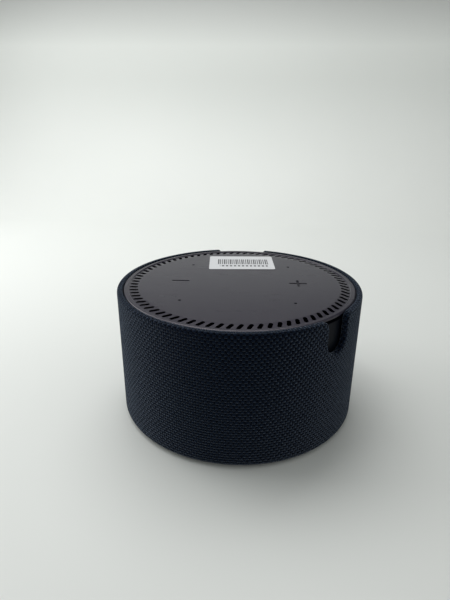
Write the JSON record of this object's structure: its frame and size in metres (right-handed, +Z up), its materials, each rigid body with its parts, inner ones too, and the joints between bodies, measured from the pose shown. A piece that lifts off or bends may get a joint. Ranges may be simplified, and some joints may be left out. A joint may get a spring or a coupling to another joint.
{
  "type": "smart speaker",
  "caption": "Low round voice speaker with a woven fabric side, a slotted flat lid with touch marks, a finger notch in the rim and a unit that lifts out of its cup",
  "frame": {"origin": "centre of the foot ring's underside, on the table", "axes": "+Z up, -Y to the front, +Y to the cable notch and the sockets at the back, +X to the plus mark"},
  "size_m": [0.1, 0.1, 0.0543],
  "materials": {
    "fabric": "woven, matte",
    "dark_plastic": "satin",
    "cup_plastic": "matte",
    "lid_plastic": "fine satin",
    "sticker": "coated paper, semi-gloss",
    "mesh": "fine black cloth",
    "circuit_board": "solder mask, satin",
    "foam": "matte foam",
    "rubber": "matte",
    "screw_steel": "zinc plated",
    "plated_metal": "satin",
    "chip_plastic": "matte",
    "coil_ferrite": "matte",
    "capacitor_sleeve": "glossy sleeve",
    "connector_plastic": "matte",
    "led_plastic": "clear gloss",
    "gold_plate": "satin",
    "basket_steel": "black, satin",
    "ferrite": "dark ceramic magnet",
    "paper_cone": "pressed paper, matte",
    "spider_cloth": "woven, resin dipped",
    "copper": "enamelled wire",
    "lead_sleeve": "matte",
    "button_plastic": "satin"
  },
  "bodies": {
    "cup": {"fabric_skin": "fabric", "cup_frame": "cup_plastic", "base_cover": "dark_plastic", "foot_ring": "rubber", "base_screws": "screw_steel", "rest_pads": "foam"},
    "speaker_unit": {"top_plate": "lid_plastic", "sticker_label": "sticker", "slot_mesh": "mesh", "touch_board": "circuit_board", "touch_pads": "foam", "microphones": "gold_plate", "mic_gaskets": "rubber", "status_leds": "led_plastic", "touch_board_screws": "screw_steel", "upper_shell": "dark_plastic", "port_panel": "dark_plastic", "power_socket": "plated_metal", "socket_tongue": "chip_plastic", "audio_jack": "dark_plastic", "mute_switch": "chip_plastic", "main_board": "circuit_board", "processor_shield": "plated_metal", "radio_antenna": "gold_plate", "amplifier_chip": "chip_plastic", "power_coils": "coil_ferrite", "smoothing_capacitors": "capacitor_sleeve", "board_connectors": "connector_plastic", "ribbon_cable": "plated_metal", "main_board_screws": "screw_steel", "lower_shell": "dark_plastic", "unit_base": "dark_plastic", "case_screws": "screw_steel", "sound_deflector": "cup_plastic", "baffle_plate": "cup_plastic", "back_box": "cup_plastic", "box_gasket": "foam", "box_screws": "screw_steel", "driver_basket": "basket_steel", "driver_washer": "plated_metal", "driver_magnet": "ferrite", "driver_yoke": "plated_metal", "driver_surround": "rubber", "driver_spider": "spider_cloth", "driver_terminal": "gold_plate", "driver_leads": "lead_sleeve", "lead_grommet": "rubber", "driver_screws": "screw_steel"},
    "speaker_cone": {"driver_cone": "paper_cone", "dust_cap": "paper_cone", "voice_coil": "copper"},
    "mute_button": {"mute_button": "button_plastic"}
  },
  "joints": [
    {"name": "unit_lift", "type": "slide", "parent": "cup", "child": "speaker_unit", "axis": [0, 0, 1], "range_m": [0, 0.056]},
    {"name": "cone_travel", "type": "slide", "parent": "speaker_unit", "child": "speaker_cone", "axis": [0, 0, 1], "range_m": [-0.0008, 0.0008], "stiffness_N_per_m": 900, "deforming": ["driver_surround", "driver_spider"]},
    {"name": "mute_press", "type": "slide", "parent": "speaker_unit", "child": "mute_button", "axis": [0, -1, 0], "range_m": [0, 0.0005], "stiffness_N_per_m": 2000, "springref_m": -0.0003}
  ]
}
